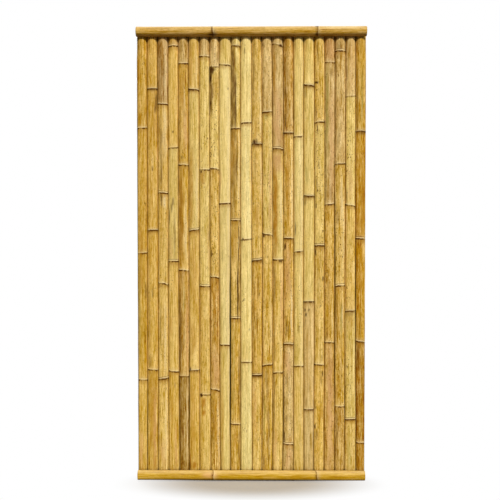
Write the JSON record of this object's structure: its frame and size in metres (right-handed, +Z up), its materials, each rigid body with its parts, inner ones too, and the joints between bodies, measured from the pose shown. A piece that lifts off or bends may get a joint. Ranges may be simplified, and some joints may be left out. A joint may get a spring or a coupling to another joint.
{
  "type": "bamboo fence panel",
  "caption": "Upright privacy panel of whole bamboo canes set side by side, held at the top and bottom between half-round split bamboo rails.",
  "frame": {"origin": "on the ground in the middle of the panel's length and thickness", "axes": "+Z up along the canes, the front faces -Y, +X to the right seen from the front"},
  "size_m": [0.9208, 0.0848, 1.829],
  "materials": {
    "pale_culm": "dried bamboo, pale straw",
    "golden_culm": "dried bamboo, golden",
    "tan_culm": "dried bamboo, weathered tan",
    "rail_culm": "dried split bamboo, golden"
  },
  "bodies": {
    "root": {"cane_01": "golden_culm", "cane_02": "golden_culm", "cane_03": "tan_culm", "cane_04": "golden_culm", "cane_05": "tan_culm", "cane_06": "golden_culm", "cane_07": "tan_culm", "cane_08": "tan_culm", "cane_09": "pale_culm", "cane_10": "tan_culm", "cane_11": "pale_culm", "cane_12": "golden_culm", "cane_13": "golden_culm", "cane_14": "tan_culm", "cane_15": "tan_culm", "cane_16": "pale_culm", "cane_17": "pale_culm", "cane_18": "golden_culm", "cane_19": "tan_culm", "cane_20": "golden_culm", "cane_21": "golden_culm", "cane_22": "golden_culm", "top_front_rail": "rail_culm", "top_back_rail": "rail_culm", "bottom_front_rail": "rail_culm", "bottom_back_rail": "rail_culm"}
  },
  "joints": []
}
